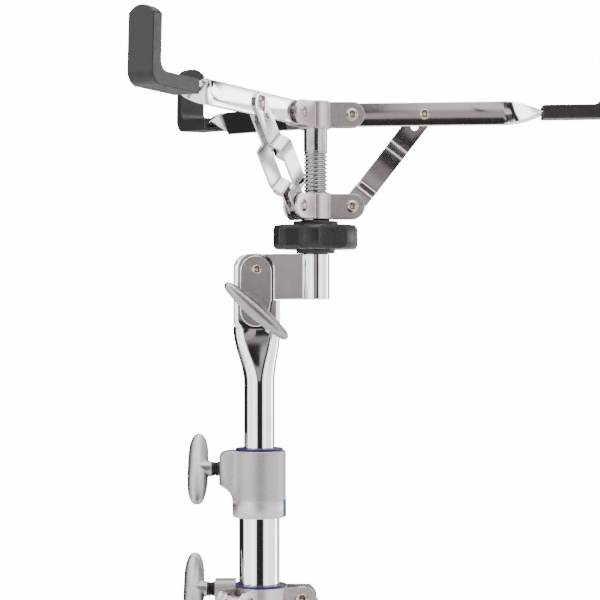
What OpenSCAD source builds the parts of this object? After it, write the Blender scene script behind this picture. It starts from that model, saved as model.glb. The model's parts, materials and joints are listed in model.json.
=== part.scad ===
// A folding snare drum stand: tripod base, height tube, tilter and a basket of three arms.
// Millimetres, +Z up, feet on Z = 0. One leg and one basket arm point along +X.
// The origin is on the floor, in the middle of the rectangle that holds the whole stand.

/* [Tubes] */
// Outer diameter of the lower tube
lower_tube_d = 25.4; // [24:0.1:26]
// Outer diameter of the height tube
upper_tube_d = 19.1; // [17:0.1:20]
// Wall of both tubes
tube_wall = 1.5; // [1.2:0.1:1.6]
// Length of the height tube below the top of the height collar
tube_below = 150; // [120:1:160]
// Length of plain height tube that shows above the height collar
tube_above = 42; // [40:1:60]

/* [Tripod] */
// Height of the leg pivots above the floor
leg_pivot_z = 244.7; // [235:0.1:260]
// Distance of the leg and brace pivots from the tube
leg_pivot_r = 26.4; // [26:0.1:28]
// Distance of the middle of each foot from the tube
foot_r = 236; // [225:1:245]
// Distance along a leg from its pivot to its brace
brace_l = 84; // [78:0.5:86]
// Width of the leg strips
leg_w = 14; // [12:0.5:15]
// Width of the brace strips
brace_w = 12; // [10:0.5:13]
// Thickness of leg and brace strips
leg_t = 1.8; // [1.5:0.1:2]
// Radius of the rounded ends of crown and spider ears
crown_ear_r = 9.5; // [9:0.1:10]
// Radial length of a rubber foot
foot_l = 28; // [26:0.5:32]
// Width of a rubber foot
foot_w = 20; // [18:0.5:24]
// Height of a rubber foot
foot_h = 19; // [18:0.5:24]

/* [Crown] */
// Height of the crown casting
crown_h = 23; // [21:0.5:28]
// Distance of the crown's top above the leg pivots
crown_rise = 8.2; // [3:0.1:9]
// Outer diameter of the crown casting
crown_d = 34.4; // [34:0.1:36]
// Distance of the crown's screw boss face from the tube
crown_boss_x = 27.5; // [26:0.5:30]
// Height of the crown's screw boss above the crown's top, where it is cut flat
crown_boss_rise = 4; // [3:0.1:6]
// Height of the spider casting
spider_h = 20; // [19:0.5:24]

/* [Height collar] */
// Outer diameter of the height collar
collar_d = 33.2; // [32:0.1:36]
// Height of the height collar
collar_h = 43; // [40:0.5:48]
// Lower tube that shows between the crown and the height collar
tube_show = 40.1; // [38:0.1:60]
// Depth that the lower tube enters the height collar
collar_grip = 18; // [14:0.5:20]
// Distance of the collar's screw boss face from the tube
collar_boss_x = 25; // [23:0.5:28]
// Depth of the screw axis below the collar's top
collar_screw_drop = 11.6; // [10:0.1:13]

/* [Wing screws] */
// Length of a wing
wing_l = 52; // [38:0.5:54]
// Thickness of a wing
wing_t = 9.5; // [8:0.1:11]
// Depth of a wing along its screw
wing_depth = 13; // [11:0.1:15]
// Turn of the two side wings from upright, in degrees
side_turn = 36; // [0:1:90]
// Diameter of the wing screws and of the tilter's bolt
screw_d = 6; // [5:0.1:6.5]

/* [Tilter] */
// Width of the tilter cheeks
cheek_w = 29.3; // [27:0.1:31]
// Distance of the cheeks' middle and of the tilt pivot left of the tube's axis
head_shift = 1.5; // [0:0.1:2]
// Reach of the cheeks to the right of the tilt pivot, beside the bracket
cheek_reach = 11.1; // [10.5:0.1:13]
// Outer depth of the pair of cheeks
cheek_depth = 14.6; // [13.6:0.1:16]
// Thickness of the tilt bracket
bracket_t = 9; // [8:0.1:9.4]
// Height of the flare from round tube to cheeks
flare_h = 33; // [28:0.5:40]
// Height of the tilt pivot above the flare
pivot_rise = 37.2; // [36:0.1:42]
// Radius of the cheeks' top corners
head_corner = 9.5; // [8:0.1:10]
// Distance of the clamp bolt below the tilt pivot
bolt_drop = 25.4; // [25:0.1:27]
// Height of the tilt bracket
bracket_h = 28.4; // [27:0.1:29]
// Distance of the tilt bracket's top above the tilt pivot
bracket_rise = 10; // [9:0.1:10]
// Distance of the basket's axis from the tube's axis
basket_offset = 35; // [34:0.1:40]
// Turn of the basket about its rod, in degrees
basket_turn = -1.5; // [-3:0.1:3]
// Outer diameter of the bracket's socket
socket_d = 17.5; // [17:0.1:19]

/* [Basket rod and knob] */
// Diameter of the basket rod
rod_d = 14.8; // [12:0.1:15]
// Pitch of the rod's thread
thread_pitch = 2.5; // [2:0.1:3]
// Depth of the rod's thread
thread_depth = 1; // [0.6:0.1:1.2]
// Outer diameter of the black knob
knob_d = 54.5; // [46:0.5:56]
// Height of the knob's gripping part
knob_h = 15; // [13:0.1:17]
// Height of each of the knob's end bosses
knob_boss_h = 2.5; // [2:0.1:3]
// Depth of the knob's finger hollows below a flat face
hollow_depth = 1; // [0.5:0.1:1.5]

/* [Hubs] */
// Height of each basket hub
hub_h = 17.4; // [16:0.1:18]
// Distance between the middles of the two hubs
hub_gap = 57; // [56:0.5:60]
// Distance of the arm and strut pivots from the rod's axis
hub_pivot_r = 22.7; // [22:0.1:24]
// Thickness of the hub plates
hub_plate_t = 1.8; // [1.5:0.1:2]
// Wall of the hub bush
bush_wall = 1.4; // [1:0.1:2]
// Radius of the rounded ear ends
ear_r = 7.9; // [7.5:0.1:8.4]
// Diameter of the basket rivets
rivet_d = 5; // [4:0.1:5.4]
// Diameter of the rivet heads
rivet_head_d = 8; // [7:0.1:8.4]
// Height of the rivet heads
rivet_head_h = 1.2; // [1:0.1:1.2]

/* [Arms and struts] */
// Height of the arm strip
arm_h = 14.8; // [13:0.1:15.6]
// Thickness of the arm strip
arm_t = 3.2; // [2.8:0.1:3.4]
// Upward lean of the right arm at rest, in degrees
arm_lift = 0.6; // [0:0.1:3]
// Upward lean of the two left arms at rest, in degrees
left_lift = 2.4; // [0:0.1:3]
// Distance of a strut's rivet from the arm's pivot
strut_reach = 44.9; // [43:0.1:47]
// Distance of the start of the arm's twist from the rod's axis
twist_start = 116.5; // [100:0.5:117]
// Length of the arm's quarter twist
twist_l = 27; // [22:0.5:28]
// Width of a strut strip
strut_w = 13.2; // [12:0.1:14]
// Thickness of a strut strip
strut_t = 1.5; // [1.2:0.1:1.6]
// Clear width of the eye between a pair of strut strips
eye_w = 13.2; // [13:0.1:14]
// Distance below the upper rivet where the eye is fully open
eye_start = 31; // [30:0.5:32]
// Distance below the upper rivet where the eye begins to close
eye_end = 55.5; // [54:0.5:56]
// Length of each bend at the ends of the eye
eye_bend = 6.5; // [6:0.1:7]
// Distance below the upper rivet of the strip's spare hole
spare_hole_drop = 9.7; // [9:0.1:12]
// Diameter of the strip's spare hole
spare_hole_d = 4.6; // [4:0.1:5]

/* [Grips] */
// Distance of a grip's outer face from the rod's axis
grip_r = 186.2; // [185:0.1:200]
// Width of a grip
grip_w = 17.4; // [17:0.1:20]
// Thickness of a grip
grip_t = 8.5; // [8:0.1:11]
// Height of a grip above its underside
grip_h = 44; // [38:0.5:48]
// Width of the steel tongue inside a grip
tongue_w = 12; // [10:0.1:13]
// Height of the steel tongue's upright above the arm's middle
tongue_rise = 30; // [24:0.5:31]

/* [Hidden] */
$fn = 64;
AZIMUTHS = [0, 120, 240];
RUN = 0.05;
SEAT = 0.3;
SIDE = 0.1;
SINK = 0.3;
OVER = 1;
BEND_STEPS = 6;

crown_top_z = leg_pivot_z + crown_rise;
flange_h = 1.2;
crown_boss_r = 8.5;
crown_screw_z = crown_top_z - 2;
insert_wall = 1.9;
crown_bore = lower_tube_d + 2 * (insert_wall + RUN);
sleeve_wall = 3.8;
plate_t = 2.2;
collar_z = crown_top_z + flange_h + tube_show;
collar_top_z = collar_z + collar_h;
screw_z = collar_top_z - collar_screw_drop;
flare_z = collar_top_z + tube_above;
cheek_z = flare_z + flare_h;
pivot_z = cheek_z + pivot_rise;
bracket_top_z = pivot_z + bracket_rise;
knob_z = bracket_top_z + SEAT;
knob_top_z = knob_z + knob_h + 2 * knob_boss_h;
low_hub_z = knob_top_z + SEAT + hub_h / 2;
top_hub_z = low_hub_z + hub_gap;

leg_drop = leg_pivot_z - foot_h / 2;
leg_run = foot_r - leg_pivot_r;
leg_lean = atan2(leg_run, leg_drop);
leg_l = norm([leg_run, leg_drop]);
spider_pivot_z = leg_pivot_z - 2 * brace_l * cos(leg_lean);
tube_bottom_z = spider_pivot_z - spider_h / 2;
leg_in = 5;
brace_in = leg_in - 2 * SIDE - leg_t;
crown_ear_in = leg_in + leg_t + 2 * SIDE;
spider_ear_in = brace_in + leg_t + 2 * SIDE;
leg_rivet_d = 6;
leg_head_d = 9;
leg_head_h = 1.6;

strip_in = arm_t / 2 + SIDE;
ear_in = strip_in + strut_t + 2 * SIDE;
ear_out = ear_in + hub_plate_t;
bush_r = rod_d / 2 + RUN + bush_wall;
function lift(a) = a == 0 ? arm_lift : left_lift;
function strut_span(a) = [strut_reach * cos(lift(a)), hub_gap + strut_reach * sin(lift(a))];
function strut_lean(a) = atan2(strut_span(a).x, strut_span(a).y);
function strut_l(a) = norm(strut_span(a));

foot_out = foot_r + foot_l / 2;
left_x = -foot_out * cos(60) - foot_w / 2 * sin(60);
right_x = max(foot_out, basket_offset + grip_r);
tube_x = -(left_x + right_x) / 2;

// Places children on the axis of the two tubes
module on_tube() {
    translate([tube_x, 0, 0]) children();
}

// Places children on the axis of the basket rod, turned with the basket
module on_rod() {
    translate([tube_x + basket_offset, 0, 0]) rotate([0, 0, basket_turn]) children();
}

// A cylinder along Y, centred on the origin
module pin_y(d, l) {
    rotate([90, 0, 0]) cylinder(d = d, h = l, center = true);
}

// A pipe along Z with its lower end at height z
module pipe(d, bore, z, h) {
    translate([0, 0, z]) difference() {
        cylinder(d = d, h = h);
        translate([0, 0, -OVER]) cylinder(d = bore, h = h + 2 * OVER);
    }
}

// A flat strip in the XZ plane with round ends, from the origin to length l along Z
module strip(w, l, t) {
    translate([0, 0, l / 2]) cube([w, t, l], center = true);
    pin_y(w, t);
    translate([0, 0, l]) pin_y(w, t);
}

// A rivet along Y whose heads sit on faces at -out and +out
module rivet(d, head_d, head_h, out) {
    pin_y(d, 2 * out);
    for (side = [-90, 90]) rotate([side, 0, 0]) translate([0, 0, out])
        cylinder(d1 = head_d, d2 = head_d * 0.55, h = head_h);
}

// A lens along X, l long and t thick, standing h high on Z = 0
module lens(l, t, h) {
    bow = (l * l + t * t) / (4 * t);
    intersection() {
        translate([0, bow - t / 2, 0]) cylinder(r = bow, h = h, $fn = 128);
        translate([0, t / 2 - bow, 0]) cylinder(r = bow, h = h, $fn = 128);
    }
}

// A wing along X: its stem starts at the origin and it points along +Z
module wing(stem_l) {
    tip_extra = 7;
    translate([0, 0, stem_l]) intersection() {
        lens(wing_l + tip_extra, wing_t, wing_depth);
        translate([0, wing_t, wing_depth / 2]) rotate([90, 0, 0])
            lens(wing_l + 2 * tip_extra, wing_depth, 2 * wing_t);
        cylinder(d = wing_l, h = wing_depth);
    }
    cylinder(d1 = 10.5, d2 = 8, h = stem_l + wing_depth / 4);
}

// Lower tube with its plastic end plug
module lower_tube() {
    color("silver") on_tube()
        pipe(lower_tube_d, lower_tube_d - 2 * tube_wall, tube_bottom_z,
             collar_z + collar_grip - tube_bottom_z);
}

module tube_plug() {
    color("dimgray") on_tube() {
        translate([0, 0, tube_bottom_z - 2]) cylinder(d = lower_tube_d, h = 2);
        translate([0, 0, tube_bottom_z]) cylinder(d = lower_tube_d - 2 * tube_wall - 2 * RUN, h = 8);
    }
}

// Two ears with a pivot bore, on both sides of the +X plane
module ears(inner, t, from_r, pivot_r, end_r, bore_d) {
    difference() {
        for (side = [-1, 1]) translate([0, side * (inner + t / 2), 0]) {
            translate([(from_r + pivot_r) / 2, 0, 0])
                cube([pivot_r - from_r, t, 2 * end_r], center = true);
            translate([pivot_r, 0, 0]) pin_y(2 * end_r, t);
        }
        translate([pivot_r, 0, 0]) pin_y(bore_d, 2 * (inner + t) + 2 * OVER);
    }
}

// Casting at the foot of the lower tube that carries the three braces
module base_spider() {
    ear_t = 2.6;
    ring_d = lower_tube_d + 9;
    color("silver") on_tube() translate([0, 0, spider_pivot_z]) {
        difference() {
            cylinder(d = ring_d, h = spider_h, center = true);
            cylinder(d = lower_tube_d, h = spider_h + 2 * OVER, center = true);
        }
        for (a = AZIMUTHS) rotate([0, 0, a])
            ears(spider_ear_in, ear_t, ring_d / 2 - 1.4, leg_pivot_r, crown_ear_r, leg_rivet_d);
    }
}

// A pivot rivet at r from the axis, with a spacer between the strips that it joins
module spaced_rivet(r, d, head_d, head_h, out, low, high) {
    translate([r, 0, 0]) {
        rivet(d, head_d, head_h, out);
        translate([0, (low + high) / 2, 0]) pin_y(d + 4, high - low);
    }
}

module spider_rivets() {
    spacer = brace_in - RUN;
    color("gainsboro") on_tube() translate([0, 0, spider_pivot_z]) for (a = AZIMUTHS)
        rotate([0, 0, a])
            spaced_rivet(leg_pivot_r, leg_rivet_d, leg_head_d, leg_head_h,
                         spider_ear_in + 2.6, -spacer, spacer);
}

// Cast collar clamped on the lower tube, with a screw boss on the left and a split on the right
module height_collar() {
    boss_r = 10.3;
    web_drop = 8;
    color("lightgray") on_tube() difference() {
        union() {
            translate([0, 0, collar_z]) cylinder(d = collar_d, h = collar_h);
            translate([-collar_boss_x, -boss_r * 0.9, screw_z - boss_r - web_drop])
                cube([collar_boss_x - 6, boss_r * 1.8, 2 * boss_r + web_drop]);
        }
        translate([-collar_boss_x, 0, screw_z - boss_r - web_drop])
            pin_y(2 * web_drop, 4 * boss_r);
        translate([0, 0, collar_z - OVER]) cylinder(d = lower_tube_d, h = collar_grip + OVER + 0.01);
        translate([0, 0, collar_z + collar_grip])
            cylinder(d = lower_tube_d + 1.6, h = collar_h);
        translate([-collar_boss_x - OVER, 0, screw_z]) rotate([0, 90, 0])
            cylinder(d = screw_d + 2 * RUN, h = collar_boss_x);
        shim_slot();
    }
}

// The upright slot in the collar's wall, on the right and a little to the front
module shim_slot() {
    rotate([0, 0, -18]) translate([lower_tube_d / 2 + RUN, -0.9, collar_z + 2.5])
        cube([collar_d, 1.8, 10]);
}

// Blue nylon strip that shows in the collar's slot
module collar_shim() {
    color("midnightblue") on_tube() intersection() {
        shim_slot();
        translate([0, 0, collar_z]) cylinder(d = collar_d - 0.4, h = collar_h);
    }
}

// Places a wing screw's children: +Z points left, away from the tube, from the boss face
module at_boss(x, z) {
    on_tube() translate([-x, 0, z]) rotate([0, -90, 0]) children();
}

screw_show = 4.4;
wing_stem = 2.3;

module height_wing() {
    color("lightgray") at_boss(collar_boss_x, screw_z) translate([0, 0, screw_show])
        rotate([0, 0, side_turn]) wing(wing_stem);
}

module height_screw() {
    tip = collar_boss_x - (lower_tube_d + 1.6) / 2 - SEAT;
    color("dimgray") at_boss(collar_boss_x, screw_z) translate([0, 0, -tip])
        cylinder(d = screw_d, h = tip + screw_show);
}

// Blue nylon sleeve in the top of the collar: it turns with the height tube, which slides in it
module swivel_sleeve() {
    z = collar_z + collar_grip + SEAT;
    bore = upper_tube_d + 2 * RUN;
    color("midnightblue") on_tube() {
        pipe(lower_tube_d + 1.6 - 2 * RUN, bore, z, collar_top_z - z + SEAT);
        pipe(collar_d - 3.6, bore, collar_top_z + SEAT, flange_h);
    }
}

// Height tube: its top end is split and pressed into two wide cheeks
module height_tube() {
    bottom_z = collar_top_z - tube_below;
    head_z = bracket_top_z - head_corner;
    head_w = cheek_w / 2 + cheek_reach;
    notch_z = bracket_top_z - bracket_h - SEAT;
    slot = bracket_t + 2 * SIDE;
    color("silver") on_tube() difference() {
        union() {
            translate([0, 0, bottom_z]) cylinder(d = upper_tube_d, h = flare_z - bottom_z);
            hull() {
                translate([0, 0, flare_z]) cylinder(d = upper_tube_d, h = 0.01);
                translate([-head_shift, 0, cheek_z]) for (side = [-1, 1])
                    translate([side * (cheek_w - cheek_depth) / 2, 0, 0])
                        cylinder(d = cheek_depth, h = 0.01);
            }
            translate([-head_shift, 0, 0]) {
                translate([-cheek_w / 2, -cheek_depth / 2, cheek_z])
                    cube([cheek_w, cheek_depth, notch_z - cheek_z]);
                translate([-cheek_w / 2, -cheek_depth / 2, notch_z])
                    cube([head_w, cheek_depth, head_z - notch_z]);
                for (x = [head_corner, head_w - head_corner])
                    translate([x - cheek_w / 2, 0, head_z])
                        pin_y(2 * head_corner, cheek_depth);
                translate([head_corner - cheek_w / 2, -cheek_depth / 2, head_z])
                    cube([head_w - 2 * head_corner, cheek_depth, head_corner]);
            }
        }
        translate([0, 0, bottom_z - OVER])
            cylinder(d = upper_tube_d - 2 * tube_wall, h = flare_z - bottom_z);
        translate([-cheek_w, -slot / 2, cheek_z + 2]) cube([2 * cheek_w, slot, bracket_h * 3]);
        translate([-head_shift, 0, pivot_z]) pin_y(screw_d, cheek_w);
        translate([-head_shift, 0, pivot_z - bolt_drop]) pin_y(screw_d + 2 * RUN, cheek_w);
    }
}

module tilt_rivet() {
    color("gainsboro") on_tube() translate([-head_shift, 0, pivot_z])
        rivet(screw_d, rivet_head_d, rivet_head_h, cheek_depth / 2);
}

wing_turn = 41.5;

module tilt_wing() {
    color("lightgray") on_tube() translate([-head_shift, -cheek_depth / 2 - SEAT, pivot_z - bolt_drop])
        rotate([90, wing_turn, 0]) wing(5);
}

// Clamp bolt through both cheeks: it turns with its wing
module tilt_bolt() {
    color("gainsboro") on_tube() translate([-head_shift, -cheek_depth / 2 - SEAT, pivot_z - bolt_drop])
        rotate([-90, 0, 0]) cylinder(d = screw_d, h = cheek_depth + 9);
}

// Square nut held against the rear cheek
module tilt_nut() {
    nut = 11;
    color("gainsboro") on_tube() translate([-head_shift, cheek_depth / 2, pivot_z - bolt_drop])
        difference() {
            translate([-nut / 2, 0, -nut / 2]) cube([nut, 6, nut]);
            pin_y(screw_d + 2 * RUN, 3 * nut);
        }
}

// Bracket that tilts between the cheeks and carries the basket rod in its socket
module tilt_bracket() {
    middle_z = bracket_top_z - bracket_h / 2;
    color("silver") on_tube() difference() {
        union() {
            translate([-head_shift, -bracket_t / 2, bracket_top_z - bracket_h])
                cube([basket_offset + head_shift, bracket_t, bracket_h]);
            translate([-head_shift, 0, middle_z]) pin_y(bracket_h, bracket_t);
            translate([basket_offset, 0, bracket_top_z - bracket_h])
                cylinder(d = socket_d, h = bracket_h);
        }
        translate([-head_shift, 0, pivot_z]) pin_y(screw_d + 2 * RUN, cheek_w);
        translate([basket_offset, 0, bracket_top_z - bracket_h - OVER])
            cylinder(d = rod_d, h = bracket_h + 2 * OVER);
    }
}

// Basket rod: plain in the socket and under the top hub, threaded between
module basket_rod() {
    bottom = bracket_top_z - bracket_h;
    start = bracket_top_z + 1.5;
    turns = floor((top_hub_z - hub_h / 2 - 14 - start) / thread_pitch);
    top = top_hub_z + hub_h / 2 - 0.6;
    crest = rod_d / 2;
    root = crest - thread_depth;
    color("silver") on_rod() rotate_extrude() polygon(concat(
        [[0, bottom], [crest, bottom], [crest, start]],
        [for (i = [0:turns - 1]) each [
            [root, start + (i + 0.4) * thread_pitch],
            [root, start + (i + 0.5) * thread_pitch],
            [crest, start + (i + 0.9) * thread_pitch],
            [crest, start + (i + 1) * thread_pitch]]],
        [[crest, top - 0.8], [crest - 0.8, top], [0, top]]));
}

// One bent plate: its ears lie beside two neighbouring arms and its middle wraps the bush
module bent_plate(inner_r, t, ear_y, pivot_r, end_r, bore_d) {
    wall_a = asin(ear_y / inner_r) + 4;
    root_x = inner_r * cos(wall_a);
    difference() {
        intersection() {
            linear_extrude(height = 2 * end_r, center = true) difference() {
                union() {
                    intersection() {
                        circle(r = inner_r + t);
                        polygon([
                            [0, 0],
                            3 * inner_r * [cos(wall_a), sin(wall_a)],
                            3 * inner_r * [cos(60), sin(60)],
                            3 * inner_r * [cos(120 - wall_a), sin(120 - wall_a)]]);
                    }
                    twice_about_60() translate([root_x, ear_y])
                        square([pivot_r + end_r + OVER - root_x, t]);
                }
                circle(r = inner_r);
            }
            round_end(pivot_r, end_r);
            mirrored_about_60() round_end(pivot_r, end_r);
        }
        twice_about_60() translate([pivot_r, 0, 0]) pin_y(bore_d, 4 * ear_y + 4 * t);
    }
}

// Everything inside the rounded end of an ear on the +X side
module round_end(pivot_r, end_r) {
    far = 4 * pivot_r;
    translate([pivot_r - far, -far / 2, -end_r - OVER]) cube([far, far, 2 * end_r + 2 * OVER]);
    translate([pivot_r, 0, 0]) pin_y(2 * end_r, far);
}

// Children mirrored in the upright plane at 60 degrees
module mirrored_about_60() {
    rotate([0, 0, 60]) mirror([0, 1, 0]) rotate([0, 0, -60]) children();
}

// Children together with their mirror image in that plane
module twice_about_60() {
    children();
    mirrored_about_60() children();
}

// A basket hub: three bent plates round a bush
module hub(bush_bore) {
    bush_d = 2 * bush_r;
    pipe(bush_d, bush_bore, -hub_h / 2, hub_h);
    for (a = AZIMUTHS) rotate([0, 0, a])
        bent_plate(bush_r - SINK, hub_plate_t, ear_in, hub_pivot_r, ear_r, rivet_d);
}

module top_hub() {
    color("silver") on_rod() translate([0, 0, top_hub_z]) hub(rod_d);
}

module low_hub() {
    color("silver") on_rod() translate([0, 0, low_hub_z]) hub(rod_d + 2 * RUN);
}

module top_hub_rivets() {
    gap = arm_t / 2 + RUN;
    color("gainsboro") on_rod() translate([0, 0, top_hub_z]) for (a = AZIMUTHS)
        rotate([0, 0, a]) {
            spaced_rivet(hub_pivot_r, rivet_d, rivet_head_d, rivet_head_h, ear_out,
                         gap, ear_in);
            translate([hub_pivot_r, -(gap + ear_in) / 2, 0]) pin_y(rivet_d + 4, ear_in - gap);
        }
}

module low_hub_rivets() {
    spacer = strip_in - RUN;
    color("gainsboro") on_rod() translate([0, 0, low_hub_z]) for (a = AZIMUTHS)
        rotate([0, 0, a])
            spaced_rivet(hub_pivot_r, rivet_d, rivet_head_d, rivet_head_h, ear_out,
                         a == 0 ? -ear_in : -spacer, spacer);
}

// Black nut knob under the low hub, with six finger hollows
module basket_knob() {
    half = 20.5;
    turn = -6;
    flat_r = knob_d / 2 * cos(half);
    end_y = knob_d / 2 * sin(half);
    hollow_r = (end_y * end_y + hollow_depth * hollow_depth) / (2 * hollow_depth);
    chamfer = 2.5;
    rim = knob_d / 2;
    color("dimgray") on_rod() translate([0, 0, knob_z]) difference() {
        union() {
            translate([0, 0, knob_boss_h]) difference() {
                rotate_extrude() polygon([
                    [0, 0], [rim - chamfer, 0], [rim, chamfer],
                    [rim, knob_h - chamfer], [rim - chamfer, knob_h], [0, knob_h]]);
                for (i = [0:5]) rotate([0, 0, 60 * i + turn])
                    translate([flat_r - hollow_depth + hollow_r, 0, -OVER])
                        cylinder(r = hollow_r, h = knob_h + 2 * OVER, $fn = 96);
            }
            cylinder(d = 24, h = knob_h);
            cylinder(d = 28, h = knob_h + 2 * knob_boss_h - 0);
        }
        translate([0, 0, -OVER]) cylinder(d = rod_d + 2 * RUN, h = 2 * knob_h);
        translate([0, 0, -OVER]) difference() {
            cylinder(d = 40, h = OVER + knob_boss_h);
            cylinder(d = 24, h = OVER + knob_boss_h);
        }
    }
}

// Places an arm's children: the pivot is the origin and the arm runs along +X
module at_arm(a) {
    on_rod() rotate([0, 0, a]) translate([hub_pivot_r, 0, top_hub_z])
        rotate([0, -lift(a), 0]) children();
}

// Steel tongue inside a grip: flat along the arm, then upright
module tongue(from_x) {
    out = grip_r - hub_pivot_r - (grip_t - arm_t) / 2;
    translate([from_x, -tongue_w / 2, -arm_t / 2]) cube([out - from_x, tongue_w, arm_t]);
    translate([out - arm_t, -tongue_w / 2, -arm_t / 2])
        cube([arm_t, tongue_w, tongue_rise + arm_t / 2]);
}

// Arm: an upright strip with a quarter twist near its end, then the flat tongue
module arm(a) {
    twist_x = twist_start - hub_pivot_r;
    color("silver") at_arm(a) {
        difference() {
            union() {
                pin_y(arm_h, arm_t);
                translate([0, -arm_t / 2, -arm_h / 2]) cube([twist_x, arm_t, arm_h]);
            }
            pin_y(rivet_d + 2 * RUN, 2 * arm_t);
        }
        if (a == 0) translate([strut_reach, -arm_t / 2, 0]) rotate([90, 0, 0])
            cylinder(d1 = rivet_head_d, d2 = rivet_head_d * 0.55, h = rivet_head_h);
        translate([twist_x, 0, 0]) rotate([0, 90, 0])
            linear_extrude(height = twist_l, twist = 90, slices = 8, $fn = 8)
                square([arm_h, arm_t], center = true);
        tongue(twist_x + twist_l);
    }
}

// Rubber grip: an L that sleeves the tongue, with a round outer corner and an arched top
module grip(a) {
    out = grip_r - hub_pivot_r;
    start = twist_start + twist_l - hub_pivot_r;
    low = -grip_t / 2;
    fillet = 6;
    arch = 10.5;
    color("dimgray") at_arm(a) difference() {
        union() {
            translate([start, -grip_w / 2, low]) cube([out - grip_t - start, grip_w, grip_t]);
            intersection() {
                translate([out - grip_t, 0, low + grip_t]) pin_y(2 * grip_t, grip_w);
                translate([out - grip_t, -grip_w, low]) cube([grip_t, 2 * grip_w, grip_t]);
            }
            intersection() {
                translate([out - grip_t, -grip_w / 2, low + grip_t])
                    cube([grip_t, grip_w, grip_h - grip_t]);
                union() {
                    translate([out - 2 * grip_t, -grip_w, low])
                        cube([3 * grip_t, 2 * grip_w, grip_h - arch]);
                    translate([out - 2 * grip_t, 0, low + grip_h - arch]) rotate([0, 90, 0])
                        cylinder(r = arch, h = 3 * grip_t);
                }
            }
            difference() {
                translate([out - grip_t - fillet, -grip_w / 2, low + grip_t])
                    cube([fillet, grip_w, fillet]);
                translate([out - grip_t - fillet, 0, low + grip_t + fillet])
                    pin_y(2 * fillet, 2 * grip_w);
            }
        }
        tongue(start - OVER);
    }
}

// Inner line of a strut strip, as [distance from the arm, height above the low pivot]
function strip_path(y_in, y_out, l) = concat(
    [[y_in, -strut_w]],
    soft_bend(y_in, l - eye_end - eye_bend, y_out, l - eye_end),
    soft_bend(y_out, l - eye_start, y_in, l - eye_start + eye_bend),
    [[y_in, l + strut_w]]);

// An S-shaped bend from one point to another
function soft_bend(y0, z0, y1, z1) = [
    for (i = [0:BEND_STEPS]) [y0 + (y1 - y0) * (1 - cos(180 * i / BEND_STEPS)) / 2,
                              z0 + (z1 - z0) * i / BEND_STEPS]];

// One strut strip on the side given, with its rivet head and its spare hole
module strut_strip(side, l) {
    path = strip_path(strip_in, eye_w / 2, l);
    back = [for (i = [len(path) - 1:-1:0]) path[i] + [strut_t, 0]];
    face = strip_in + strut_t;
    mirror([0, side < 0 ? 1 : 0, 0]) {
        difference() {
            intersection() {
                rotate([90, 0, 90]) linear_extrude(height = strut_w, center = true)
                    polygon(concat(path, back));
                strip(strut_w, l, 4 * eye_w);
            }
            pin_y(rivet_d + 2 * RUN, 4 * eye_w);
            translate([0, 0, l - spare_hole_drop]) pin_y(spare_hole_d, 4 * eye_w);
        }
        translate([0, face, l]) rotate([-90, 0, 0])
            cylinder(d1 = rivet_head_d, d2 = rivet_head_d * 0.55, h = rivet_head_h);
    }
}

// Strut: a pair of bent strips, but the right-hand strut is a single strip behind its arm
module strut(a) {
    sides = a == 0 ? [1] : [-1, 1];
    color("silver") on_rod() rotate([0, 0, a]) translate([hub_pivot_r, 0, low_hub_z])
        rotate([0, strut_lean(a), 0]) for (side = sides) strut_strip(side, strut_l(a));
}

// Cast ring that slides on the lower tube, with a screw boss on the left
module crown_casting() {
    bore = crown_bore;
    color("lightgray") on_tube() difference() {
        union() {
            translate([0, 0, crown_top_z - crown_h]) cylinder(d = crown_d, h = crown_h);
            translate([-crown_boss_x, 0, crown_screw_z]) rotate([0, 90, 0])
                cylinder(r = crown_boss_r, h = crown_boss_x - bore / 2);
        }
        translate([0, 0, crown_top_z - crown_h - OVER]) cylinder(d = bore, h = 2 * crown_h);
        translate([-crown_boss_x - OVER, 0, crown_screw_z]) rotate([0, 90, 0])
            cylinder(d = screw_d + 2 * RUN, h = crown_boss_x);
        translate([-2 * crown_boss_x, -crown_boss_x, crown_top_z + crown_boss_rise])
            cube([2 * crown_boss_x, 2 * crown_boss_x, crown_boss_r]);
    }
}

// Three bent plates round the crown casting, whose ears hold the legs
module crown_plates() {
    color("silver") on_tube() difference() {
        translate([0, 0, leg_pivot_z]) for (a = AZIMUTHS) rotate([0, 0, a])
            bent_plate(crown_d / 2, plate_t, crown_ear_in, leg_pivot_r, crown_ear_r, leg_rivet_d);
        translate([-crown_boss_x - OVER, 0, crown_screw_z]) rotate([0, 90, 0])
            cylinder(r = crown_boss_r + 0.2, h = crown_boss_x);
        translate([-2 * crown_boss_x, -2 * crown_boss_x, crown_top_z])
            cube([4 * crown_boss_x, 4 * crown_boss_x, crown_h]);
    }
}

// Blue nylon sleeve between the crown and the lower tube, with its rim cut away at the boss
module crown_sleeve() {
    bore = lower_tube_d + 2 * RUN;
    color("midnightblue") on_tube() {
        pipe(crown_bore - 2 * RUN, bore, crown_top_z - crown_h, crown_h);
        difference() {
            pipe(crown_d - 1.4, bore, crown_top_z, flange_h);
            translate([-crown_boss_x, 0, crown_screw_z]) rotate([0, 90, 0])
                cylinder(r = crown_boss_r + 2 * SIDE, h = crown_boss_x - crown_bore / 2 + SIDE);
        }
    }
}

module crown_rivets() {
    spacer = leg_in - RUN;
    color("gainsboro") on_tube() translate([0, 0, leg_pivot_z]) for (a = AZIMUTHS)
        rotate([0, 0, a])
            spaced_rivet(leg_pivot_r, leg_rivet_d, leg_head_d, leg_head_h,
                         crown_ear_in + plate_t, -spacer, spacer);
}

module crown_wing() {
    color("lightgray") at_boss(crown_boss_x, crown_screw_z) translate([0, 0, screw_show])
        rotate([0, 0, side_turn]) wing(wing_stem);
}

module crown_screw() {
    tip = crown_boss_x - lower_tube_d / 2 - insert_wall - RUN - SEAT;
    color("dimgray") at_boss(crown_boss_x, crown_screw_z) translate([0, 0, -tip])
        cylinder(d = screw_d, h = tip + screw_show);
}

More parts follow.
